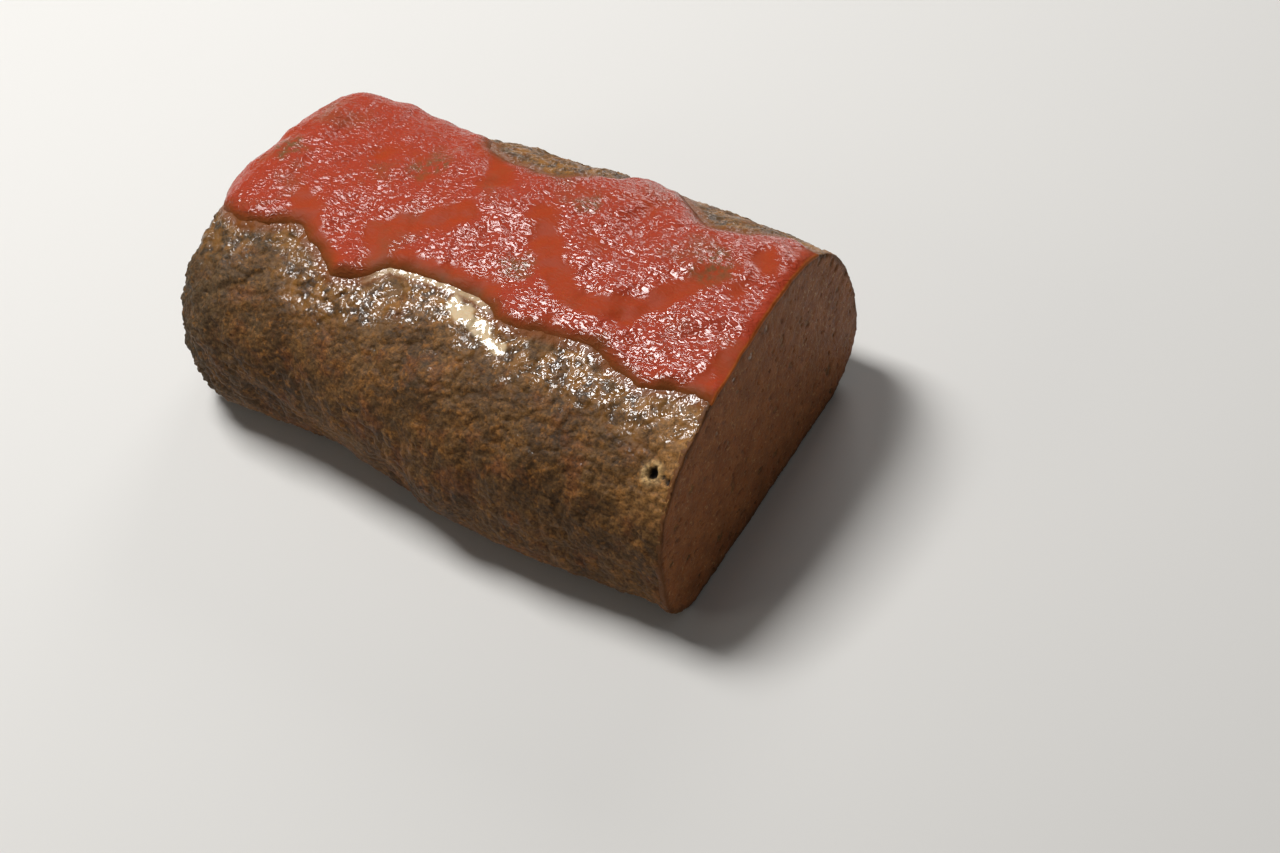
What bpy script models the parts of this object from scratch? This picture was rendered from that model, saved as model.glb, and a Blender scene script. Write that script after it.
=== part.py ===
"""A meatloaf shaped by hand and baked, cut across at one end, with tomato sauce over its top.

Metres, +Z up. The cut face looks along +X, the rounded end lies at -X, and -Y is the front side.
The origin is at the middle of the footprint's box, on the surface that the loaf rests on.
"""
import math

import bmesh
import bpy
from mathutils import Matrix, Vector, noise

# The loaf. Its outline is measured outwards from a level line inside it, its core.
CORE_LENGTH = 0.156       # from the rounded end's centre to the middle of the cut
END_REACH = 0.032         # from the rounded end's centre out to the end
HALF_WIDTH = 0.061        # at its widest, level with the core
CORE_HEIGHT = 0.026
RISE = 0.035              # from the core up to the middle of the top
DROP = 0.029              # from the core down to the underside, before the base is flattened
TOP_SQUARENESS = 3.0      # 2 is an ellipse, larger is squarer
BASE_SQUARENESS = 3.6
END_SQUARENESS = 2.6
TOP_NARROWING = 0.08      # share of the width lost from the core up to the top
END_NARROWING = 0.07      # share of the width lost from the cut to the rounded end
TOP_TILT = 0.09           # the top rises towards the back by this slope
CUT_ANGLE = math.radians(6)  # how far the cut's front edge stands ahead of square, seen from above
CUT_OUTWARDS = Vector((math.cos(CUT_ANGLE), math.sin(CUT_ANGLE), 0))
LUMP_HEIGHT = 0.0016      # hand-shaped lumps, in and out
LUMP_SPACING = 0.030
# Larger swellings, or hollows where the height is negative: place, spread, height.
SWELLINGS = (
    (Vector((0.090, -0.060, 0.014)), 0.028, 0.0030),
    (Vector((0.038, -0.057, 0.008)), 0.018, -0.0040),
    (Vector((0.160, -0.062, 0.032)), 0.030, -0.0040),
    (Vector((0.012, 0.044, 0.056)), 0.034, -0.0048),
)

# The sauce. Its edge is given by how far it comes down from upright, in degrees, as seen from the core:
# along the front and the back by the distance from the rounded end's centre, and round that end by the turn.
SAUCE_GAP = 0.0006
SAUCE_DEPTH = 0.0026
FOLD_HEIGHT = 0.0006
FOLD_SPACING = 0.011
FRONT_EDGE = (
    (0.000, 37), (0.008, 31), (0.018, 38), (0.032, 46), (0.039, 42), (0.046, 33), (0.060, 31), (0.075, 30),
    (0.090, 37), (0.104, 33), (0.116, 31), (0.128, 36), (0.138, 39), (0.144, 34), (0.170, 33))
END_EDGE = ((0, 37), (20, 42), (60, 50), (90, 55), (120, 63), (150, 60), (180, 64))
BACK_EDGE = (
    (0.000, 64), (0.020, 66), (0.032, 58), (0.044, 44), (0.056, 43), (0.068, 42), (0.076, 50), (0.088, 64),
    (0.099, 61), (0.110, 53), (0.120, 46), (0.130, 49), (0.142, 58), (0.150, 54), (0.170, 52))

# The mesh.
FACE_SIZE = 0.0050        # the loaf's quads, before they are fitted to the outline
SAUCE_STEP = 0.0050       # along the sauce
END_STEPS = 22            # around its rounded end
# Rings of the sauce, as shares of the way from its middle line to its edge, and how full its depth is there.
SAUCE_RINGS = (
    (0.12, 1), (0.25, 1), (0.38, 1), (0.51, 1), (0.63, 1), (0.74, 1), (0.83, 1), (0.90, 1), (0.95, 0.92),
    (0.98, 0.72), (1.00, 0.35))


def main():
    clear_scene()
    add_loaf()
    add_sauce()
    centre_footprint()


def clear_scene():
    for item in list(bpy.data.objects):
        bpy.data.objects.remove(item, do_unlink=True)


def fullness(point):
    """Zero on the core, one on the smooth outline, and more than one outside it."""
    half_width = HALF_WIDTH * (1 - END_NARROWING * (1 - point.x / CORE_LENGTH))
    above_core = point.z - CORE_HEIGHT
    if above_core > 0:
        half_width *= 1 - TOP_NARROWING * above_core / RISE
        depth = RISE + TOP_TILT * point.y
        squareness = TOP_SQUARENESS
    else:
        depth = DROP
        squareness = BASE_SQUARENESS
    sideways = abs(point.y) / half_width
    endways = max(-point.x, 0) / END_REACH
    outwards = (sideways ** END_SQUARENESS + endways ** END_SQUARENESS) ** (1 / END_SQUARENESS)
    return (outwards ** squareness + abs(above_core / depth) ** squareness) ** (1 / squareness)


def lump_height(point):
    height = LUMP_HEIGHT * noise.noise(point / LUMP_SPACING)
    for middle, spread, swelling in SWELLINGS:
        height += swelling * math.exp(-((point - middle).length / spread) ** 2)
    return height


def surface_point(core_point, direction):
    """The point of the lumpy surface that lies in a direction from a point of the core."""
    near = 0.0
    far = 2 * HALF_WIDTH
    for _ in range(40):
        middle = (near + far) / 2
        if fullness(core_point + middle * direction) < 1:
            near = middle
        else:
            far = middle
    smooth = core_point + near * direction
    return smooth + lump_height(smooth) * direction


def core_point_near(point):
    return Vector((max(point.x, 0), 0, CORE_HEIGHT))


def add_loaf():
    mesh = bmesh.new()
    spare = 2 * FACE_SIZE + HALF_WIDTH * math.tan(CUT_ANGLE)
    low = Vector((-END_REACH, -HALF_WIDTH, CORE_HEIGHT - DROP))
    high = Vector((CORE_LENGTH + spare, HALF_WIDTH, CORE_HEIGHT + RISE))
    size = high - low
    for axis in range(3):
        across = (axis + 1) % 3
        up = (axis + 2) % 3
        for side in (-1, 1):
            middle = (low + high) / 2
            middle[axis] = (low, high)[side > 0][axis]
            turn = Matrix.Diagonal((0, 0, 0, 1))
            turn[across][0] = size[across] / 2
            turn[up][1] = size[up] / 2 * side
            turn[axis][2] = side
            turn.translation = middle
            bmesh.ops.create_grid(
                mesh,
                x_segments=round(size[across] / FACE_SIZE),
                y_segments=round(size[up] / FACE_SIZE),
                size=1,
                matrix=turn,
            )
    bmesh.ops.remove_doubles(mesh, verts=mesh.verts, dist=0.00001)
    for vertex in mesh.verts:
        core_point = core_point_near(vertex.co)
        outwards = (vertex.co - core_point).normalized()
        if vertex.co.x < high.x - 0.00001:
            vertex.co = surface_point(core_point, outwards)
    cut_flat(mesh, Vector((CORE_LENGTH, 0, 0)), CUT_OUTWARDS)
    cut_flat(mesh, Vector((0, 0, 0)), Vector((0, 0, -1)))
    finish_object(mesh, "loaf", "browned meat", "7A4A2C", 0.55)


def add_sauce():
    """A layer that follows the loaf's top, thins to a rounded edge, and is cut where the loaf is."""
    stations = sauce_stations()
    mesh = bmesh.new()
    layers = []
    for depth in (0, SAUCE_DEPTH):
        middles = {}
        rows = []
        for core_x, heading, edge in stations:
            core_point = Vector((core_x, 0, CORE_HEIGHT))
            if core_x not in middles:
                middles[core_x] = mesh.verts.new(sauce_point(core_point, heading, 0, depth))
            row = [middles[core_x]]
            for share, full in SAUCE_RINGS:
                row.append(mesh.verts.new(sauce_point(core_point, heading, share * edge, depth * full)))
            rows.append(row)
        layers.append(rows)
    for rows in layers:
        for row, next_row in zip(rows, rows[1:]):
            for ring in range(len(SAUCE_RINGS)):
                corners = [row[ring], row[ring + 1], next_row[ring + 1], next_row[ring]]
                mesh.faces.new(list(dict.fromkeys(corners)))
    for row, next_row, top_row, next_top_row in zip(layers[0], layers[0][1:], layers[1], layers[1][1:]):
        mesh.faces.new([row[-1], next_row[-1], next_top_row[-1], top_row[-1]])
    bmesh.ops.recalc_face_normals(mesh, faces=mesh.faces)
    cut_flat(mesh, Vector((CORE_LENGTH, 0, 0)), CUT_OUTWARDS)
    finish_object(mesh, "sauce", "tomato sauce", "B83A2A", 0.25)


def sauce_stations():
    """Places along the sauce's edge: along the front from the cut, round the end, and back to the cut."""
    steps = round(CORE_LENGTH / SAUCE_STEP)
    spacing = CORE_LENGTH / steps
    distances = [spacing * step for step in range(1, steps + 4)]
    stations = [(distance, -math.pi / 2, read_edge(FRONT_EDGE, distance)) for distance in reversed(distances)]
    for step in range(END_STEPS + 1):
        turn = 180 * step / END_STEPS
        stations.append((0.0, math.radians(-90 - turn), read_edge(END_EDGE, turn)))
    stations += [(distance, math.pi / 2, read_edge(BACK_EDGE, distance)) for distance in distances]
    return stations


def read_edge(points, place):
    """The edge's angle at a place, in radians, easing from one given point to the next."""
    for (start, before), (end, after) in zip(points, points[1:]):
        if place <= end:
            share = (place - start) / (end - start)
            eased = (1 - math.cos(math.pi * share)) / 2
            return math.radians(before + (after - before) * eased)
    return math.radians(points[-1][1])


def sauce_point(core_point, heading, angle, depth):
    """A point of the sauce over the loaf, at a depth above the sauce's underside."""
    outwards = Vector((math.cos(heading), math.sin(heading), 0)) * math.sin(angle)
    outwards.z = math.cos(angle)
    on_loaf = surface_point(core_point, outwards)
    fold = FOLD_HEIGHT * noise.noise(on_loaf / FOLD_SPACING) * depth / SAUCE_DEPTH
    return on_loaf + (SAUCE_GAP + depth + fold) * surface_normal(on_loaf)


def surface_normal(point):
    reach = 0.002
    slope = Vector()
    for axis in range(3):
        step = Vector()
        step[axis] = reach
        slope[axis] = fullness(point + step) - fullness(point - step)
    return slope.normalized()


def cut_flat(mesh, place, outwards):
    """Cuts the mesh off flat and closes it with one face."""
    everything = mesh.verts[:] + mesh.edges[:] + mesh.faces[:]
    bmesh.ops.bisect_plane(mesh, geom=everything, plane_co=place, plane_no=outwards, clear_outer=True)
    rim = [edge for edge in mesh.edges if edge.is_boundary]
    bmesh.ops.edgeloop_fill(mesh, edges=rim)


def centre_footprint():
    """Moves the shapes so that the middle of their common box is over the origin."""
    points = [vertex.co for item in bpy.data.objects for vertex in item.data.vertices]
    shift = Matrix.Identity(4)
    for axis in (0, 1):
        places = [point[axis] for point in points]
        shift[axis][3] = -(min(places) + max(places)) / 2
    for item in bpy.data.objects:
        item.data.transform(shift)


def finish_object(mesh, name, finish, colour, roughness):
    bmesh.ops.recalc_face_normals(mesh, faces=mesh.faces)
    data = bpy.data.meshes.new(name)
    mesh.to_mesh(data)
    mesh.free()
    item = bpy.data.objects.new(name, data)
    bpy.context.collection.objects.link(item)
    data.shade_smooth()
    data.set_sharp_from_angle(angle=math.radians(40))
    material = bpy.data.materials.new(finish)
    material.use_nodes = True
    shader = material.node_tree.nodes["Principled BSDF"]
    shader.inputs["Base Color"].default_value = [*linear_colour(colour), 1]
    shader.inputs["Roughness"].default_value = roughness
    data.materials.append(material)


def linear_colour(code):
    channels = [int(code[start:start + 2], 16) / 255 for start in (0, 2, 4)]
    return [((value + 0.055) / 1.055) ** 2.4 if value > 0.04045 else value / 12.92 for value in channels]


main()
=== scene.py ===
"""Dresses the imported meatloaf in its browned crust, its crumb and its tomato sauce, on a pale floor.

Metres, +Z up: the cut looks along +X and the front side along -Y.
"""

import math

import bmesh
import bpy
import numpy as np
from bpy.props import FloatProperty, FloatVectorProperty, PointerProperty
from bpy.types import Operator, Panel, PropertyGroup
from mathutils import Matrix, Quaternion, Vector, noise
from mathutils.bvhtree import BVHTree
from mathutils.kdtree import KDTree


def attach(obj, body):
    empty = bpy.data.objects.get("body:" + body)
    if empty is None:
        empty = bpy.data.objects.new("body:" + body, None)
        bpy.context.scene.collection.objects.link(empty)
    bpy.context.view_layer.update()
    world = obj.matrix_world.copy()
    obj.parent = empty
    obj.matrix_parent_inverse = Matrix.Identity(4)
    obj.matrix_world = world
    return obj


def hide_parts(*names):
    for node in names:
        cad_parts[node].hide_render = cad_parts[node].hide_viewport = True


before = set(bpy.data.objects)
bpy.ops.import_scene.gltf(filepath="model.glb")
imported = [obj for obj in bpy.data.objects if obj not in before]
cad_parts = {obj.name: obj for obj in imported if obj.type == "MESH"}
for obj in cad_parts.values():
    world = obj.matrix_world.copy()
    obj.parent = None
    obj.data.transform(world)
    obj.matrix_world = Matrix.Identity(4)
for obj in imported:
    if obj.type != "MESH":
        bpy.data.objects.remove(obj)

bl_info = {
    "name": "Meatloaf with tomato sauce",
    "version": (1, 0, 0),
    "blender": (4, 5, 0),
    "location": "View3D > Sidebar > Meatloaf",
    "description": "Adds a cut meatloaf's browned crust, crumb and tomato sauce, and a plain stage",
    "category": "Object",
}

CUT_ANGLE = math.radians(6)          # the cut is turned this far from square, as the frame's solid is
CUT_OUTWARDS = Vector((math.cos(CUT_ANGLE), math.sin(CUT_ANGLE), 0))
MERGE = 0.00001                      # joins the frame's loose triangles
CRUMB_DEPTH = 0.0020                 # the crumb is a plate this thick, let into the crust
CRUST_BEHIND_CUT = 0.0003            # the crumb stands this far proud of the crust around it
MOST_TRIANGLES = 195000              # in one piece
GRAIN_SEED = 1                       # without it, the grains would lie differently in each run
LEAN_MIDDLE = 0.030                  # a dimple goes in towards the loaf's middle line, at this height
SAUCE_SINKS = -0.0007                # the sauce's underside lies in the crust, so no gap shows
THINNEST_SAUCE = 0.0005
TROUGH_WIDTH = 0.0060
HIDING_STEPS = 10                    # thin_out weighs how hidden a point is in this many steps

# Lengths over which one look gives way to another, in metres.
ROUGH_END = (0.045, 0.09)            # from the middle towards the rounded end, which is driest and roughest
SMOOTH_BY_SAUCE = (0.0003, 0.0022)   # from the sauce: juices fill the creases and cover the grains there
STAINED_BY_SAUCE = (0.0005, 0.0035)  # from the sauce: its oil has soaked in
HIDDEN_BY_SAUCE = (0.0006, 0.0009)   # from the sauce's solid: the crust under the sauce lies about this near
FAT_RING = (0.0018, 0.0042)          # from the air hole's middle
PAINTED_SHADE_IN_HOLE = (0.0003, 0.0009)      # down into an air hole, where painted shade darkens it
TAN_ABOVE = (0.034, 0.050)           # above the floor: beside the cut, the crust is tan up here
AIR_HOLES_BEYOND = 0.05              # along X: the dimples past here get painted shade inside

# Each light's place, and the side of its square.
HIGH_SOFTBOX = ((-0.55, 0.06, 1.12), 0.45)
REAR_SOFTBOX = ((-0.35, 1.15, 0.60), 0.5)
FRONT_FILL = ((-0.7, -1.1, 0.75), 0.4)
NEUTRAL_LIGHT = "FFFFFF"
WARM_LIGHT = "FFF6EA"
SKY_STRENGTH = 0.10
FLOOR_SIDE = 8
SENSOR_WIDTH = 36                    # millimetres
CAMERA_AIM = Vector((0.0625, -0.0166, 0.030))

# Troughs where the sauce lies smooth and deep, as places seen from above.
TROUGHS = (
    ((0.011, 0.015), (0.019, 0.005), (0.025, -0.001), (0.032, -0.006), (0.041, -0.008), (0.055, -0.005)),
    ((0.055, -0.005), (0.061, 0.003), (0.070, 0.018)),
    ((-0.060, -0.011), (-0.053, -0.017), (-0.046, -0.023), (-0.038, -0.027)),
    ((-0.011, 0.005), (-0.032, -0.012), (-0.028, -0.017), (-0.023, -0.021)),
    ((-0.017, -0.018), (-0.002, -0.017), (0.012, -0.016)),
)

# Places where the meat stands high and the sauce over it is thin, with their radii.
THIN_SPOTS = (
    ((-0.033, 0.017), 0.009),
    ((0.020, 0.024), 0.006),
    ((0.015, -0.005), 0.007),
    ((0.067, 0.020), 0.010),
    ((-0.079, 0.004), 0.008),
)

# Where melted fat has pooled on the front shoulder, seen from above: its pale colour is partly a painted
# highlight.
POOL = ((0.006, -0.0235), (0.016, -0.0265), (0.027, -0.0305))
POOL_WIDTH = 0.0065

# The air hole and the crack beside the cut, and the notches low on the front: place, radius, depth.
DIMPLES = (
    ((0.0880, -0.0435, 0.0500), 0.0019, 0.0024),
    ((0.0915, -0.0430, 0.0500), 0.0012, 0.0008),
    ((0.0935, -0.0435, 0.0495), 0.0014, 0.0010),
    ((-0.0490, -0.0590, 0.0190), 0.0100, 0.0020),
    ((0.0010, -0.0580, 0.0160), 0.0100, 0.0020),
)


def linear_colour(code):
    """An sRGB hex colour as the linear values that Blender works in."""
    channels = [int(code[start:start + 2], 16) / 255 for start in (0, 2, 4)]
    return [((value + 0.055) / 1.055) ** 2.4 if value > 0.04045 else value / 12.92 for value in channels]


def colour_property(name, description, code):
    return FloatVectorProperty(
        name=name, description=description, subtype="COLOR", size=3, min=0, max=1,
        default=linear_colour(code))


def length_property(name, description, metres):
    return FloatProperty(
        name=name, description=description, subtype="DISTANCE", unit="LENGTH", precision=5, min=0,
        default=metres)


class CrustSettings(PropertyGroup):
    """Sizes and colours of the browned crust."""
    mesh_size: length_property("Mesh size", "Edge length of the crust's mesh", 0.0007)
    lump_height: length_property("Lump height", "How far clumps of meat stand out", 0.0009)
    lump_spacing: length_property("Lump spacing", "Distance between clumps of meat", 0.011)
    clump_spacing: length_property("Clump spacing", "Size of the clumps between creases", 0.0075)
    crease_depth: length_property("Crease depth", "How deep creases between clumps lie", 0.0006)
    grain_height: length_property("Grain height", "How far the ground meat's grains stand out", 0.00055)
    grain_spacing: length_property("Grain spacing", "Size of the ground meat's grains", 0.0030)
    brown: colour_property("Brown", "Most of the crust", "6A4B28")
    # Dark brown also stands for painted shade in the hollows between grains.
    dark: colour_property("Dark brown", "Well browned clumps and the hollows between grains", "362412")
    amber: colour_property("Amber", "Where fat and juices have browned", "9A652C")
    grey: colour_property("Grey brown", "Clumps with little fat", "483E2E")
    tan: colour_property("Tan", "Paler crust beside the cut", "966A38")
    russet: colour_property("Russet", "Redder clumps", "74421F")
    gold: colour_property("Gold", "Crust under the basting juices", "A26E30")
    stain: colour_property("Stain", "Where the sauce's oil has soaked in", "7A4418")
    # Painted shade inside the air hole.
    painted_hole_shade: colour_property("Pit", "The inside of an air hole", "1C120A")
    fat: colour_property("Fat", "Pale fat around the air hole", "C2A06C")
    # Partly the fat's own colour, partly a painted highlight.
    pool: colour_property("Pool", "Melted fat that has pooled beside the sauce", "E0C8A0")


class CrumbSettings(PropertyGroup):
    """Sizes and colours of the cut meat; the colours are darker and browner than lit crumb, partly the
    crumb's own colour and partly painted shade.
    """
    mesh_size: length_property("Mesh size", "Edge length of the crumb's mesh", 0.00048)
    rim: length_property("Rim", "Width of the crust that shows around the crumb", 0.0001)
    pore: length_property("Pore", "Radius of the larger air holes", 0.0011)
    # Partly the crumb's own colour, partly painted shade: darker and browner than lit crumb.
    tan: colour_property("Tan", "Most of the crumb", "965A34")
    pale: colour_property("Pale tan", "Crumb with more fat and bread", "AA6E42")
    # The speck colour also serves as painted shade between the crumb's grains.
    speck: colour_property("Speck", "Grey purple specks of meat", "6E4832")
    fat: colour_property("Fat", "Small pale specks", "D0A576")
    # Painted shade inside the crumb's air holes and tears.
    hole: colour_property("Hole", "The inside of an air hole", "3C2012")
    rim_brown: colour_property("Rim brown", "Crumb beside the crust", "6C4526")


class SauceSettings(PropertyGroup):
    """Sizes and colours of the tomato sauce."""
    mesh_size: length_property("Mesh size", "Edge length of the sauce's mesh", 0.00042)
    depth: length_property("Depth", "How thick the sauce lies", 0.0021)
    lip_width: length_property("Lip width", "How far the sauce rounds over towards its edge", 0.0055)
    fold_height: length_property("Fold height", "How far the sauce's broad folds stand out", 0.0008)
    fold_spacing: length_property("Fold spacing", "Distance between broad folds", 0.022)
    wrinkle_height: length_property("Wrinkle height", "How far the skin's wrinkles stand out", 0.00012)
    wrinkle_spacing: length_property("Wrinkle spacing", "Distance between wrinkles", 0.0020)
    red: colour_property("Tomato red", "Most of the sauce", "A03A23")
    deep: colour_property("Deep red", "Troughs, where the sauce is thick", "9E3C1C")
    thin: colour_property("Thin", "Where the meat shows through", "744C2C")
    edge: colour_property("Edge", "The oily, see-through edge", "6E3E1C")
    end: colour_property("End", "The thin line where the knife went through", "B8662A")


class StageSettings(PropertyGroup):
    """The floor, the lights and the camera."""
    floor: colour_property("Floor", "A plain pale studio floor", "DAD8D4")
    lens: FloatProperty(
        name="Lens", description="Focal length on a 36 mm sensor", default=78.5, min=20, max=300)
    azimuth: FloatProperty(
        name="Azimuth", description="How far the camera stands to the right of the front",
        subtype="ANGLE", unit="ROTATION", default=math.radians(42.67))
    elevation: FloatProperty(
        name="Elevation", description="How far the camera looks down",
        subtype="ANGLE", unit="ROTATION", default=math.radians(46.13))
    roll: FloatProperty(
        name="Roll", description="How far the camera is tipped to its right",
        subtype="ANGLE", unit="ROTATION", default=math.radians(10.05))
    distance: length_property("Distance", "From the camera to the point it looks at", 0.7884)
    key: FloatProperty(name="Key light", description="Power of the high softbox", default=16, min=0)
    rear: FloatProperty(name="Rear light", description="Power of the low softbox behind", default=4, min=0)
    fill: FloatProperty(name="Fill light", description="Power of the front fill", default=1.3, min=0)


def solid_copy(node, name):
    """A new piece with a CAD node's mesh, its loose triangles joined and paired into quads."""
    piece = bpy.data.objects.new(name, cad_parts[node].data.copy())
    piece.data.name = name
    piece.data.materials.clear()
    bpy.context.collection.objects.link(piece)
    make_only_selected(piece)
    bpy.ops.object.mode_set(mode="EDIT")
    bpy.ops.mesh.select_all(action="SELECT")
    bpy.ops.mesh.remove_doubles(threshold=MERGE)
    bpy.ops.mesh.tris_convert_to_quads()
    bpy.ops.object.mode_set(mode="OBJECT")
    return piece


def make_only_selected(piece):
    bpy.ops.object.select_all(action="DESELECT")
    piece.select_set(True)
    bpy.context.view_layer.objects.active = piece


def cut_piece(piece, behind_cut, keep_inside):
    """Cuts the piece along a plane that lies behind the loaf's cut, and closes it."""
    place = (cut_reach() - behind_cut) * CUT_OUTWARDS
    make_only_selected(piece)
    bpy.ops.object.mode_set(mode="EDIT")
    bpy.ops.mesh.select_all(action="SELECT")
    bpy.ops.mesh.bisect(
        plane_co=place, plane_no=CUT_OUTWARDS, use_fill=True,
        clear_outer=keep_inside, clear_inner=not keep_inside)
    bpy.ops.object.mode_set(mode="OBJECT")


def cut_reach():
    """How far the cut's plane lies from the origin: it is the loaf's end in that direction."""
    return float(max(mesh_points(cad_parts["loaf"].data) @ np.array(CUT_OUTWARDS)))


def mesh_points(mesh):
    points = np.zeros(len(mesh.vertices) * 3)
    mesh.vertices.foreach_get("co", points)
    return points.reshape(-1, 3)


def mesh_normals(mesh):
    normals = np.zeros(len(mesh.vertices) * 3)
    mesh.vertex_normals.foreach_get("vector", normals)
    return normals.reshape(-1, 3)


def place_points(mesh, points):
    mesh.vertices.foreach_set("co", points.ravel())
    mesh.update()


def on_floor(points):
    """The same points, with none below the floor."""
    return np.maximum(points, (-np.inf, -np.inf, 0))


def remesh(piece, size, smoothing):
    """Gives the piece an even mesh and rounds off its facets."""
    make_only_selected(piece)
    even = piece.modifiers.new("Even mesh", "REMESH")
    even.mode = "VOXEL"
    even.voxel_size = size
    bpy.ops.object.modifier_apply(modifier=even.name)
    smooth(piece, smoothing)
    bpy.ops.object.shade_smooth()


def smooth(piece, times):
    make_only_selected(piece)
    rounded = piece.modifiers.new("Rounded facets", "SMOOTH")
    rounded.factor = 0.5
    rounded.iterations = times
    bpy.ops.object.modifier_apply(modifier=rounded.name)


def store(piece, name, values):
    attribute = piece.data.attributes.new(name, "FLOAT", "POINT")
    attribute.data.foreach_set("value", np.asarray(values, dtype=np.float32))


def solid_tree(node):
    """A tree that finds the nearest place on a CAD node."""
    mesh = bmesh.new()
    mesh.from_mesh(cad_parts[node].data)
    tree = BVHTree.FromBMesh(mesh)
    mesh.free()
    return tree


def distances_to(tree, points):
    return np.array([tree.find_nearest(point)[3] for point in points])


def thin_out(piece, hidden, most_triangles):
    """Takes triangles away where they are hidden, until no more than the most are left."""
    group = piece.vertex_groups.new(name="hidden")
    for step in range(1, HIDING_STEPS + 1):
        chosen = np.nonzero(np.round(hidden * HIDING_STEPS) == step)[0]
        group.add(chosen.tolist(), step / HIDING_STEPS, "REPLACE")
    triangles = sum(len(polygon.vertices) - 2 for polygon in piece.data.polygons)
    if triangles > most_triangles:
        make_only_selected(piece)
        thinner = piece.modifiers.new("Fewer hidden triangles", "DECIMATE")
        thinner.ratio = most_triangles / triangles
        thinner.vertex_group = group.name
        thinner.vertex_group_factor = 10
        bpy.ops.object.modifier_apply(modifier=thinner.name)
    piece.vertex_groups.clear()


def eased(value, low, high):
    """Zero at low, one at high, with a soft start and end."""
    share = np.clip((value - low) / (high - low), 0, 1)
    return share * share * (3 - 2 * share)


def noise_at(points, spacing, offset=0.0):
    """Soft noise from about -1 to 1 at each point; each offset gives another pattern."""
    shift = Vector((offset, 2 * offset, -offset))
    return np.array([noise.noise(Vector(point) / spacing + shift) for point in points])


def fractal_at(points, spacing, octaves, offset=0.0):
    """Rougher noise, from about -1 to 1, whose finest part is spacing / 2 ** (octaves - 1)."""
    shift = Vector((offset, 2 * offset, -offset))
    return np.array([noise.fractal(Vector(point) / spacing + shift, 0.7, 2.0, octaves) for point in points])


def grain_at(points, spacing):
    """Rounded grains of uneven size: one on a grain, falling to zero between grains."""
    noise.seed_set(GRAIN_SEED)
    values = []
    for point in points:
        place = Vector(point) / spacing
        place += 0.35 * noise.noise_vector(1.3 * place)
        distances = noise.voronoi(place)[0]
        values.append(min(distances[1] - distances[0], 0.45) / 0.45)
    values = np.array(values)
    return values * (2 - values)


def lumps_at(points, settings):
    """How far clumps of meat stand out of the solid; the sauce lies over the same clumps."""
    spacing = settings.lump_spacing
    return settings.lump_height * (noise_at(points, spacing) + 0.6 * noise_at(points, spacing / 2, 3))


class MEATLOAF_OT_crust(Operator):
    """Add the browned crust, rough with grains of meat and basted over its shoulders"""
    bl_idname = "meatloaf.crust"
    bl_label = "Browned crust"

    def execute(self, context):
        settings = context.scene.meatloaf_crust
        piece = solid_copy("loaf", "browned_crust")
        cut_piece(piece, CRUST_BEHIND_CUT, keep_inside=True)
        remesh(piece, settings.mesh_size, 3)
        points = mesh_points(piece.data)
        normals = mesh_normals(piece.data)
        to_sauce = distances_to(solid_tree("sauce"), points)
        behind_cut = cut_reach() - points @ np.array(CUT_OUTWARDS)
        pool = pool_share(points, to_sauce)
        rough_end = eased(-points[:, 0], *ROUGH_END)
        grains = grain_at(points, settings.grain_spacing)
        on_cut = eased(normals @ np.array(CUT_OUTWARDS), 0.5, 0.9) * eased(-behind_cut, -0.003, -0.001)
        on_base = eased(-normals[:, 2], 0.6, 0.95)
        height = crust_relief(points, to_sauce, pool, rough_end, grains, settings)
        height *= (1 - on_cut) * (1 - 0.9 * on_base)
        place_points(piece.data, on_floor(points + height[:, None] * normals))
        store(piece, "grain", grains)
        store(piece, "charred", 0.8 * rough_end)
        store(piece, "pool", pool)
        store_air_hole(piece, points)
        store_juices(piece, points, to_sauce, behind_cut, pool)
        near_cut = 1 - eased(behind_cut, 0.002, 0.022 + 0.010 * noise_at(points, 0.012, 15))
        store(piece, "near_cut", near_cut * eased(points[:, 2], *TAN_ABOVE))
        under_sauce = 1 - eased(to_sauce, *HIDDEN_BY_SAUCE)
        underneath = eased(-normals[:, 2], 0.9, 0.99)
        thin_out(piece, np.maximum(np.maximum(on_cut, underneath), under_sauce), MOST_TRIANGLES)
        piece.data.materials.append(browned_crust_material(settings))
        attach(piece, "root")
        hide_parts("loaf")
        return {"FINISHED"}


def crust_relief(points, to_sauce, pool, rough_end, grains, settings):
    """How far the crust stands out of the solid: clumps with creases between them, and grains on both."""
    clumps = grain_at(points, settings.clump_spacing)
    fine = fractal_at(points, settings.grain_spacing / 1.6, 2, 7)
    roughness = (0.8 + 0.9 * rough_end) * (0.8 + 0.5 * noise_at(points, 0.02, 11))
    height = lumps_at(points, settings) + 0.0010 * rough_end * noise_at(points, 0.0045, 43)
    bare = 0.3 + 0.7 * eased(to_sauce, *SMOOTH_BY_SAUCE)
    creased = eased(noise_at(points, 0.014, 31), -0.4, 0.3)
    height += bare * settings.crease_depth * (clumps - 1) * creased
    height += bare * settings.grain_height * roughness * (grains - 0.6 + 0.5 * fine) * (1 - 0.8 * pool)
    return height - dimple_depths(points)


def store_air_hole(piece, points):
    """Stores how pale with fat the crust is around the air hole, and the painted shade inside it."""
    ring = 1 - eased(distance_across(points, DIMPLES[0][0]), *FAT_RING)
    store(piece, "fat", 0.8 * ring)
    hole_shade_share = eased(dimple_depths(points), *PAINTED_SHADE_IN_HOLE)
    store(piece, "painted_hole_shade", hole_shade_share * (points[:, 0] > AIR_HOLES_BEYOND))


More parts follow.
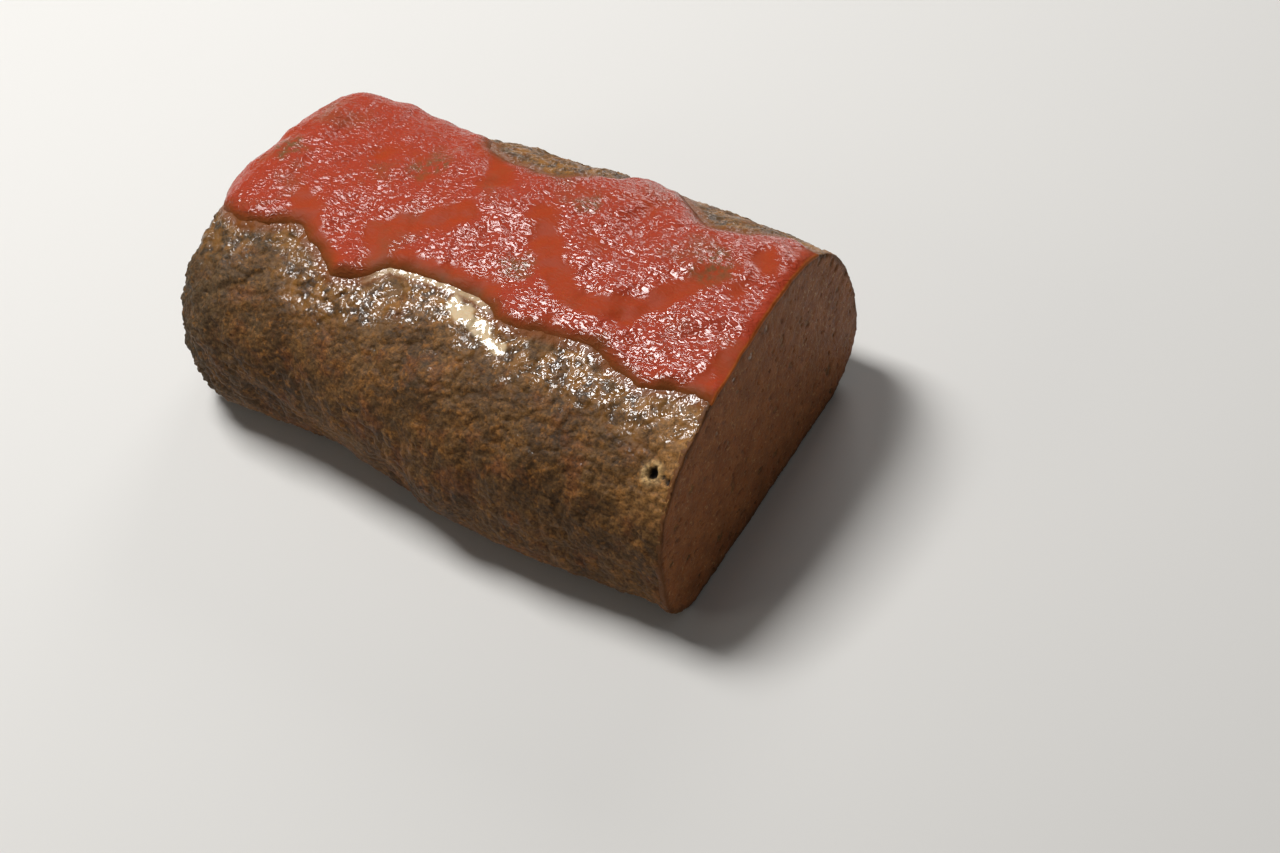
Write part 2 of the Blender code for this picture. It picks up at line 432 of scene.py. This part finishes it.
def store_juices(piece, points, to_sauce, behind_cut, pool):
    """Stores where the crust is basted, where it glints, and where the sauce's oil has stained it."""
    basted = 1 - eased(to_sauce, 0.004, 0.021 + 0.012 * noise_at(points, 0.018, 5))
    basted *= eased(noise_at(points, 0.011, 33) + 0.5 * noise_at(points, 0.004, 35), -0.62, 0.05)
    basted = np.maximum(basted * (1 - 0.4 * eased(behind_cut, 0.12, 0.15)), pool)
    store(piece, "basted", basted)
    gloss = eased(basted + 0.6 * noise_at(points, 0.0035, 41), 0.25, 0.75)
    gloss *= 0.6 + 0.4 * eased(points[:, 0], -0.06, -0.01)
    store(piece, "gloss", gloss * (1 - 0.6 * eased(points[:, 1], 0.0, 0.02)))
    store(piece, "stain", 1 - eased(to_sauce, *STAINED_BY_SAUCE))


def pool_share(points, to_sauce):
    """One where fat has pooled on the front shoulder, less in a line along the sauce's foot beside it; their
    pale colour is partly real fat and partly painted highlight.
    """
    ragged = 0.0022 * noise_at(points, 0.0045, 37) + 0.0012 * noise_at(points, 0.0018, 47)
    distance = distance_to_route(points[:, :2], np.array(POOL)) + ragged
    pool = 1 - eased(distance, 0.25 * POOL_WIDTH, 0.5 * POOL_WIDTH)
    # The pale line along the sauce's foot is a painted highlight.
    line = 1 - eased(np.abs(to_sauce - 0.0008), 0.0002, 0.0009 + 0.0006 * noise_at(points, 0.003, 49))
    line *= eased(points[:, 0], -0.026, -0.020) * (1 - eased(points[:, 0], 0.012, 0.020)) * (points[:, 1] < 0)
    return np.maximum(pool, 0.65 * line) * (points[:, 2] > 0.04)


def dimple_depths(points):
    """How deep the air hole, the crack beside it and the notches under the front lie, at each point."""
    depth = np.zeros(len(points))
    for place, radius, deep in DIMPLES:
        depth += deep * (1 - eased(distance_across(points, place), 0.35 * radius, radius))
    return depth


def distance_across(points, place):
    """How far each point lies from a place on the loaf, with little regard to depth."""
    outwards = np.array([0, place[1], place[2] - LEAN_MIDDLE])
    outwards /= np.linalg.norm(outwards)
    offsets = points - np.array(place)
    offsets -= 0.7 * (offsets @ outwards)[:, None] * outwards
    return np.linalg.norm(offsets, axis=1)


class MEATLOAF_OT_crumb(Operator):
    """Add the cut face: close, moist ground meat with air holes, small tears and grains"""
    bl_idname = "meatloaf.crumb"
    bl_label = "Cut crumb"

    def execute(self, context):
        settings = context.scene.meatloaf_crumb
        piece = solid_copy("loaf", "cut_crumb")
        cut_piece(piece, CRUMB_DEPTH, keep_inside=False)
        points = mesh_points(piece.data)
        middle = (points.min(axis=0) + points.max(axis=0)) / 2
        shrink = 1 - 2 * settings.rim / (points.max(axis=0) - points.min(axis=0))
        shrink[0] = 1
        place_points(piece.data, middle + (points - middle) * shrink)
        remesh(piece, settings.mesh_size, 2)
        points = mesh_points(piece.data)
        normals = mesh_normals(piece.data)
        on_face = eased(normals @ np.array(CUT_OUTWARDS), 0.6, 0.95)
        stretched = points * np.array([1, 1, 1.25]) + 0.0006 * np.stack(
            [noise_at(points, 0.0016, offset) for offset in (50, 60, 70)], axis=1)
        presence = noise_at(points, 0.009, 4)
        holes = hole_depths(stretched, 0.0044, settings.pore) * eased(presence, -0.35, 0.25)
        small_holes = hole_depths(stretched, 0.0022, settings.pore / 2.2)
        tears = eased(noise_at(stretched, 0.0034, 9), 0.40, 0.62)
        grains = grain_at(points, 0.0021)
        height = 0.00022 * noise_at(points, 0.0034) + 0.00016 * (grains - 0.5)
        height += 0.00010 * noise_at(points, 0.0010, 2)
        height -= 0.0012 * holes + 0.0005 * small_holes + 0.0004 * tears
        height = height * on_face + lumps_at(points, context.scene.meatloaf_crust) * (1 - on_face)
        place_points(piece.data, on_floor(points + height[:, None] * normals))
        # Painted shade in the pores and tears.
        store(piece, "hole", np.clip(holes + 0.8 * small_holes + 0.5 * tears, 0, 1))
        store(piece, "grain", grains)
        from_rim = distance_from_rim(points, on_face < 0.5) + 0.0008 * noise_at(points, 0.005, 18)
        store(piece, "rim", 1 - eased(from_rim, 0.0, 0.0028))
        piece.data.materials.append(cut_crumb_material(settings))
        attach(piece, "root")
        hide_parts("loaf")
        return {"FINISHED"}


def hole_depths(points, spacing, radius):
    """One in the middle of a hole, zero outside it; holes lie about a spacing apart."""
    values = []
    for point in points:
        distances, middles = noise.voronoi(Vector(point) / spacing)
        size = radius * (0.55 + 0.45 * noise.noise(middles[0] * 7.3)) / spacing
        values.append(distances[0] / size)
    return 1 - eased(np.array(values), 0.55, 1.0)


class MEATLOAF_OT_sauce(Operator):
    """Add the tomato sauce, folded and wrinkled, thin where the meat stands high"""
    bl_idname = "meatloaf.sauce"
    bl_label = "Tomato sauce"

    def execute(self, context):
        settings = context.scene.meatloaf_sauce
        piece = solid_copy("sauce", "tomato_sauce")
        remesh(piece, settings.mesh_size, 8)
        points = mesh_points(piece.data)
        normals = mesh_normals(piece.data)
        loaf = solid_tree("loaf")
        feet = np.array([loaf.find_nearest(point)[0] for point in points])
        upwards = points - feet
        upwards /= np.linalg.norm(upwards, axis=1)[:, None]
        facing = (normals * upwards).sum(axis=1)
        behind_cut = cut_reach() - points @ np.array(CUT_OUTWARDS)
        from_edge = distance_from_rim(points, (np.abs(facing) < 0.35) & (behind_cut > 0.0015))
        inwards = np.minimum(from_edge, 0.0020 + 1.2 * np.maximum(behind_cut, 0))
        top = eased(facing, -0.2, 0.4)
        bend = np.stack([noise_at(points, 0.024, offset) for offset in (20, 30, 40)], axis=1)
        folds = noise_at(points + 0.010 * bend, settings.fold_spacing) + 0.5 * noise_at(points, 0.008, 8)
        raised = eased(folds, -0.60, -0.10) * eased(inwards, 0.0008, 0.0040) * outside_troughs(points)
        rounded = 1 - (1 - np.clip(inwards / settings.lip_width, 0, 1)) ** 2
        depth = settings.depth * rounded + settings.fold_height * rounded * (folds + 0.25 * (raised - 1))
        depth = np.maximum(depth, THINNEST_SAUCE)
        thickness = lumps_at(feet, context.scene.meatloaf_crust) + SAUCE_SINKS + depth * (0.1 + 0.9 * top)
        at_cut = 1 - eased(behind_cut, 0.0, 0.003)
        cut_shift = 0.0003 * at_cut[:, None] * np.array(CUT_OUTWARDS)
        place_points(piece.data, feet + upwards * thickness[:, None] + cut_shift)
        smooth(piece, 6)
        points = mesh_points(piece.data)
        normals = mesh_normals(piece.data)
        along = (points + 0.005 * bend) * np.array([0.7, 1, 1])
        wrinkles = 1 - 2.4 * np.abs(noise_at(along, settings.wrinkle_spacing, 12))
        wrinkles += 0.5 - 1.2 * np.abs(noise_at(along, settings.wrinkle_spacing / 1.9, 22))
        height = settings.wrinkle_height * wrinkles * (0.3 + 0.7 * raised) * rounded * top
        place_points(piece.data, points + height[:, None] * normals)
        depth = eased(from_edge + 0.0010 * noise_at(points, 0.005, 45), 0.0004, 0.0060) * top
        skinned = eased(raised * depth, 0.1, 0.7) * eased(behind_cut + 0.001 * bend[:, 0], 0.0022, 0.0040)
        store(piece, "raised", raised)
        store(piece, "depth", depth)
        store(piece, "gloss", skinned * (0.55 + 0.45 * eased(points[:, 0], -0.06, 0.05)))
        store(piece, "end", 0.8 - 0.8 * eased(behind_cut, 0.0001, 0.0008))
        store(piece, "thin", thin_spots(points))
        thin_out(piece, 1 - eased(facing, -0.75, -0.5), MOST_TRIANGLES)
        piece.data.materials.append(tomato_sauce_material(settings))
        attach(piece, "root")
        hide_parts("sauce")
        return {"FINISHED"}


def distance_from_rim(points, on_rim):
    """How far each point lies from the nearest of the rim's points."""
    rim = points[on_rim]
    tree = KDTree(len(rim))
    for index, point in enumerate(rim):
        tree.insert(point, index)
    tree.balance()
    return np.array([tree.find(point)[2] for point in points])


def outside_troughs(points):
    """Zero along the middle of a trough, one outside it."""
    outside = np.ones(len(points))
    for route in TROUGHS:
        distance = distance_to_route(points[:, :2], np.array(route))
        distance += 0.0020 * noise_at(points, 0.007, 17) + 0.0012 * noise_at(points, 0.0025, 19)
        outside *= eased(distance, 0.3 * TROUGH_WIDTH, 1.1 * TROUGH_WIDTH)
    return outside


def distance_to_route(places, route):
    """How far each place lies from a route of straight stretches, seen from above."""
    nearest = np.full(len(places), np.inf)
    for start, end in zip(route[:-1], route[1:]):
        stretch = end - start
        share = np.clip((places - start) @ stretch / (stretch @ stretch), 0, 1)
        distance = np.linalg.norm(places - start - share[:, None] * stretch, axis=1)
        nearest = np.minimum(nearest, distance)
    return nearest


def thin_spots(points):
    """One where the sauce is thin enough for the meat to show through it."""
    thin = np.zeros(len(points))
    for place, radius in THIN_SPOTS:
        distance = np.linalg.norm(points[:, :2] - np.array(place), axis=1)
        distance += 0.35 * radius * noise_at(points, 0.004, 23)
        thin = np.maximum(thin, 1 - eased(distance, 0.25 * radius, radius))
    return thin


def new_material(name):
    """An empty material with a Principled shader joined to its output."""
    material = bpy.data.materials.new(name)
    material.use_nodes = True
    return material, material.node_tree.nodes["Principled BSDF"]


def add_node(material, kind, settings=None, links=None):
    """Adds a node with its settings, then fills its inputs with values or with other nodes' outputs."""
    made = material.node_tree.nodes.new(kind)
    for key, value in (settings or {}).items():
        setattr(made, key, value)
    set_inputs(material, made, links or {})
    return made


def set_inputs(material, made, links):
    for key, value in links.items():
        socket = made.inputs[key]
        if isinstance(value, bpy.types.NodeSocket):
            material.node_tree.links.new(value, socket)
        elif socket.type == "RGBA":
            socket.default_value = [*value, 1][:4]
        else:
            socket.default_value = value


MIX_FACTOR, MIX_A, MIX_B = 0, 6, 7
MIX_RESULT = 2


def attribute_of(material, name):
    return add_node(material, "ShaderNodeAttribute", {"attribute_name": name}).outputs["Fac"]


def noise_share(material, place, size, low, high, most=1.0, detail=3, roughness=0.6):
    """Noise of a real size as a share: nothing below low, the most above high."""
    pattern = add_node(material, "ShaderNodeTexNoise", None, {
        "Vector": place, "Scale": 1 / size, "Detail": detail, "Roughness": roughness})
    share = add_node(material, "ShaderNodeMapRange", None, {
        "Value": pattern.outputs["Fac"], "From Min": low, "From Max": high, "To Max": most})
    return share.outputs[0]


def mixed(material, share, first, second):
    mix = add_node(material, "ShaderNodeMix", {"data_type": "RGBA"}, {
        MIX_FACTOR: share, MIX_A: first, MIX_B: second})
    return mix.outputs[MIX_RESULT]


def browned_crust_material(settings):
    """Ground beef, oven browned and basted: matt and mottled low down, wet and glinting near the sauce."""
    material, shader = new_material("browned_ground_beef")
    place = add_node(material, "ShaderNodeTexCoord").outputs["Object"]
    grain = attribute_of(material, "grain")
    basted = attribute_of(material, "basted")
    clumps = noise_share(material, place, size=0.016, low=0.36, high=0.68, most=0.8)
    colour = mixed(material, clumps, settings.brown, settings.dark)
    browned_fat = noise_share(
        material, place, size=0.006, low=0.50, high=0.72, most=0.6, detail=4, roughness=0.7)
    colour = mixed(material, browned_fat, colour, settings.amber)
    lean = noise_share(material, place, size=0.011, low=0.58, high=0.72, most=0.5)
    colour = mixed(material, lean, colour, settings.grey)
    redder = noise_share(material, place, size=0.009, low=0.53, high=0.68, most=0.6)
    colour = mixed(material, redder, colour, settings.russet)
    colour = mixed(material, attribute_of(material, "charred"), colour, settings.grey)
    colour = mixed(material, attribute_of(material, "near_cut"), colour, settings.tan)
    colour = mixed(material, attribute_of(material, "fat"), colour, settings.fat)
    amber_grains = noise_share(material, place, size=0.0020, low=0.56, high=0.68, most=0.5)
    colour = mixed(material, amber_grains, colour, settings.amber)
    dark_grains = noise_share(material, place, size=0.0026, low=0.60, high=0.70, most=0.7)
    colour = mixed(material, dark_grains, colour, settings.dark)
    speckle = noise_share(
        material, place, size=0.0009, low=0.30, high=0.70, most=1.0, detail=3, roughness=0.7)
    tone = add_node(material, "ShaderNodeMapRange", None, {"Value": speckle, "To Min": 0.45, "To Max": 1.60})
    speckled = add_node(material, "ShaderNodeVectorMath", {"operation": "SCALE"}, {
        0: colour, "Scale": tone.outputs[0]})
    # Painted shade: darker in the hollows between grains.
    painted_shade_between_grains = add_node(material, "ShaderNodeMapRange", None, {
        "Value": grain, "From Max": 0.7, "To Min": 0.5, "To Max": 0.0})
    colour = mixed(material, painted_shade_between_grains.outputs[0], speckled.outputs[0], settings.dark)
    golden_patches = noise_share(material, place, size=0.0042, low=0.43, high=0.57, most=0.95)
    golden = add_node(material, "ShaderNodeMath", {"operation": "MULTIPLY"}, {0: basted, 1: golden_patches})
    colour = mixed(material, golden.outputs[0], colour, settings.gold)
    darkened = add_node(material, "ShaderNodeMapRange", None, {
        "Value": basted, "To Min": 1.0, "To Max": 0.75})
    wetted = add_node(material, "ShaderNodeVectorMath", {"operation": "SCALE"}, {
        0: colour, "Scale": darkened.outputs[0]})
    colour = mixed(material, attribute_of(material, "stain"), wetted.outputs[0], settings.stain)
    pool = attribute_of(material, "pool")
    # Pale fat, partly a painted highlight.
    pooled = add_node(material, "ShaderNodeMapRange", None, {"Value": pool, "To Max": 0.75})
    colour = mixed(material, pooled.outputs[0], colour, settings.pool)
    # Painted shade inside the air hole, deeper down darker.
    colour = mixed(material, attribute_of(material, "painted_hole_shade"), colour, settings.painted_hole_shade)
    wet = add_node(material, "ShaderNodeMapRange", None, {"Value": basted, "To Min": 0.62, "To Max": 0.42})
    wander = add_node(material, "ShaderNodeTexNoise", None, {
        "Vector": place, "Scale": 1 / 0.0020, "Detail": 2})
    wandered = add_node(material, "ShaderNodeVectorMath", {"operation": "MULTIPLY_ADD"}, {
        0: wander.outputs["Color"], 1: (0.0012, 0.0012, 0.0012), 2: place})
    pebbles = add_node(material, "ShaderNodeTexVoronoi", None, {
        "Vector": wandered.outputs[0], "Scale": 1 / 0.0024})
    fine = add_node(material, "ShaderNodeTexNoise", None, {
        "Vector": place, "Scale": 1 / 0.0007, "Detail": 2, "Roughness": 0.6})
    dry = add_node(material, "ShaderNodeMapRange", None, {"Value": basted, "To Min": 0.5, "To Max": 0.1})
    fine_height = add_node(material, "ShaderNodeMath", {"operation": "MULTIPLY"}, {
        0: fine.outputs["Fac"], 1: dry.outputs[0]})
    height = add_node(material, "ShaderNodeMath", {"operation": "MULTIPLY_ADD"}, {
        0: pebbles.outputs["Distance"], 1: -1.0, 2: fine_height.outputs[0]})
    bump = add_node(material, "ShaderNodeBump", None, {
        "Height": height.outputs[0], "Distance": 0.0005, "Strength": 0.8})
    film = add_node(material, "ShaderNodeTexNoise", None, {
        "Vector": place, "Scale": 1 / 0.0021, "Detail": 1, "Roughness": 0.5})
    uneven = add_node(material, "ShaderNodeMapRange", None, {"Value": pool, "To Min": 1.0, "To Max": 0.12})
    film_bump = add_node(material, "ShaderNodeBump", None, {
        "Height": film.outputs["Fac"], "Distance": 0.0010, "Strength": uneven.outputs[0]})
    set_inputs(material, shader, {
        "Base Color": colour, "Roughness": wet.outputs[0], "Normal": bump.outputs[0],
        "IOR": 1.42, "Specular IOR Level": 0.25, "Subsurface Weight": 0.08,
        "Subsurface Radius": (0.004, 0.0015, 0.0008), "Subsurface Scale": 0.4,
        "Coat Weight": attribute_of(material, "gloss"), "Coat Roughness": 0.05,
        "Coat Normal": film_bump.outputs[0]})
    return material


def cut_crumb_material(settings):
    """Baked ground beef, sliced: soft and moist, with pale fat, grey purple specks, and air holes and tears
    darkened with painted shade.
    """
    material, shader = new_material("sliced_ground_beef")
    place = add_node(material, "ShaderNodeTexCoord").outputs["Object"]
    fatty = noise_share(
        material, place, size=0.007, low=0.35, high=0.68, most=1, detail=5, roughness=0.7)
    colour = mixed(material, fatty, settings.tan, settings.pale)
    meat_specks = noise_share(material, place, size=0.0022, low=0.58, high=0.70, most=0.75)
    colour = mixed(material, meat_specks, colour, settings.speck)
    fat_specks = noise_share(material, place, size=0.0013, low=0.60, high=0.70, most=0.8)
    colour = mixed(material, fat_specks, colour, settings.fat)
    # Painted shade: darker between the crumb's grains.
    between = add_node(material, "ShaderNodeMapRange", None, {
        "Value": attribute_of(material, "grain"), "From Max": 0.6, "To Min": 0.45, "To Max": 0.0})
    colour = mixed(material, between.outputs[0], colour, settings.speck)
    colour = mixed(material, attribute_of(material, "rim"), colour, settings.rim_brown)
    # Painted shade in the pores and tears.
    colour = mixed(material, attribute_of(material, "hole"), colour, settings.hole)
    fine = add_node(material, "ShaderNodeTexNoise", None, {
        "Vector": place, "Scale": 1 / 0.0008, "Detail": 3, "Roughness": 0.65})
    bump = add_node(material, "ShaderNodeBump", None, {
        "Height": fine.outputs["Fac"], "Distance": 0.0004, "Strength": 0.7})
    set_inputs(material, shader, {
        "Base Color": colour, "Roughness": 0.45, "Normal": bump.outputs[0],
        "IOR": 1.4, "Specular IOR Level": 0.15, "Subsurface Weight": 0.15,
        "Subsurface Radius": (0.004, 0.002, 0.001), "Subsurface Scale": 0.4})
    return material


def tomato_sauce_material(settings):
    """Thick tomato sauce with a baked skin: glossy and wrinkled on its folds, smooth in its troughs."""
    material, shader = new_material("baked_tomato_sauce")
    place = add_node(material, "ShaderNodeTexCoord").outputs["Object"]
    raised = attribute_of(material, "raised")
    colour = mixed(material, raised, settings.deep, settings.red)
    browner = noise_share(material, place, size=0.016, low=0.56, high=0.78, most=0.55)
    colour = mixed(material, browner, colour, settings.thin)
    breaks = noise_share(material, place, size=0.0022, low=0.35, high=0.60)
    thinness = add_node(material, "ShaderNodeMath", {"operation": "MULTIPLY"}, {
        0: attribute_of(material, "thin"), 1: breaks})
    colour = mixed(material, thinness.outputs[0], colour, settings.thin)
    colour = mixed(material, attribute_of(material, "depth"), settings.edge, colour)
    colour = mixed(material, attribute_of(material, "end"), colour, settings.end)
    squeezed = add_node(material, "ShaderNodeMapping", None, {"Vector": place, "Scale": (0.55, 1, 1)})
    ridged = {"noise_type": "RIDGED_MULTIFRACTAL", "normalize": False}
    skin = add_node(material, "ShaderNodeTexNoise", ridged, {
        "Vector": squeezed.outputs[0], "Scale": 1 / 0.00140, "Detail": 1.2, "Roughness": 0.5,
        "Lacunarity": 2.0, "Offset": 1.0, "Gain": 1.0, "Distortion": 0.5})
    strength = add_node(material, "ShaderNodeMapRange", None, {
        "Value": raised, "To Min": 0.25, "To Max": 1.0})
    bump = add_node(material, "ShaderNodeBump", None, {
        "Height": skin.outputs["Fac"], "Distance": 0.00016, "Strength": strength.outputs[0]})
    set_inputs(material, shader, {
        "Base Color": colour, "Roughness": 0.45, "Normal": bump.outputs[0],
        "IOR": 1.38, "Specular IOR Level": 0.08, "Coat Weight": attribute_of(material, "gloss"),
        "Coat IOR": 1.43, "Coat Roughness": 0.10, "Coat Normal": bump.outputs[0],
        "Subsurface Weight": 0.15, "Subsurface Radius": (0.005, 0.001, 0.0005), "Subsurface Scale": 0.4})
    return material


class MEATLOAF_OT_stage(Operator):
    """Add the pale floor, the soft studio lights and the camera"""
    bl_idname = "meatloaf.stage"
    bl_label = "Stage"

    def execute(self, context):
        settings = context.scene.meatloaf_stage
        add_floor(settings)
        add_softbox("high_softbox", *HIGH_SOFTBOX, settings.key, NEUTRAL_LIGHT)
        add_softbox("rear_softbox", *REAR_SOFTBOX, settings.rear, NEUTRAL_LIGHT)
        add_softbox("front_fill", *FRONT_FILL, settings.fill, WARM_LIGHT)
        world = bpy.data.worlds.new("studio")
        world.use_nodes = True
        world.node_tree.nodes["Background"].inputs["Color"].default_value = (1, 1, 1, 1)
        world.node_tree.nodes["Background"].inputs["Strength"].default_value = SKY_STRENGTH
        context.scene.world = world
        context.scene.view_settings.view_transform = "Standard"
        add_camera(context, settings)
        return {"FINISHED"}


def add_floor(settings):
    bpy.ops.object.select_all(action="DESELECT")
    bpy.ops.mesh.primitive_plane_add(size=FLOOR_SIDE, location=(0, 0, 0))
    floor = bpy.context.active_object
    floor.name = "floor"
    material, shader = new_material("matt_studio_paper")
    set_inputs(material, shader, {"Base Color": settings.floor, "Roughness": 0.7, "Specular IOR Level": 0.2})
    floor.data.materials.append(material)


def add_softbox(name, place, size, power, code):
    """A square light that faces the middle of the floor."""
    place = Vector(place)
    data = bpy.data.lights.new(name, "AREA")
    data.shape = "SQUARE"
    data.size = size
    data.energy = power
    data.color = linear_colour(code)
    light = bpy.data.objects.new(name, data)
    light.location = place
    light.rotation_euler = (-place).to_track_quat("-Z", "Y").to_euler()
    bpy.context.collection.objects.link(light)


def add_camera(context, settings):
    level = math.cos(settings.elevation)
    back = Vector((
        math.sin(settings.azimuth) * level,
        -math.cos(settings.azimuth) * level,
        math.sin(settings.elevation)))
    data = bpy.data.cameras.new("camera")
    data.lens = settings.lens
    data.sensor_width = SENSOR_WIDTH
    camera = bpy.data.objects.new("camera", data)
    camera.location = CAMERA_AIM + settings.distance * back
    turn = back.to_track_quat("Z", "Y")
    camera.rotation_euler = (turn @ Quaternion((0, 0, 1), -settings.roll)).to_euler()
    context.collection.objects.link(camera)
    context.scene.camera = camera


class MEATLOAF_PT_panel(Panel):
    """Lists the meatloaf's pieces and its stage"""
    bl_label = "Meatloaf"
    bl_idname = "MEATLOAF_PT_panel"
    bl_space_type = "VIEW_3D"
    bl_region_type = "UI"
    bl_category = "Meatloaf"

    def draw(self, context):
        for operator in OPERATORS:
            self.layout.operator(operator.bl_idname)


OPERATORS = (MEATLOAF_OT_crust, MEATLOAF_OT_crumb, MEATLOAF_OT_sauce, MEATLOAF_OT_stage)
SETTINGS = {
    "meatloaf_crust": CrustSettings,
    "meatloaf_crumb": CrumbSettings,
    "meatloaf_sauce": SauceSettings,
    "meatloaf_stage": StageSettings,
}


def register():
    for group in (*SETTINGS.values(), *OPERATORS, MEATLOAF_PT_panel):
        bpy.utils.register_class(group)
    for name, group in SETTINGS.items():
        setattr(bpy.types.Scene, name, PointerProperty(type=group))


def unregister():
    for name in SETTINGS:
        delattr(bpy.types.Scene, name)
    for group in reversed((*SETTINGS.values(), *OPERATORS, MEATLOAF_PT_panel)):
        bpy.utils.unregister_class(group)


def main():
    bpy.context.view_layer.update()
    register()
    bpy.ops.meatloaf.crust()
    bpy.ops.meatloaf.crumb()
    bpy.ops.meatloaf.sauce()
    bpy.ops.meatloaf.stage()


if __name__ == "__main__":
    main()
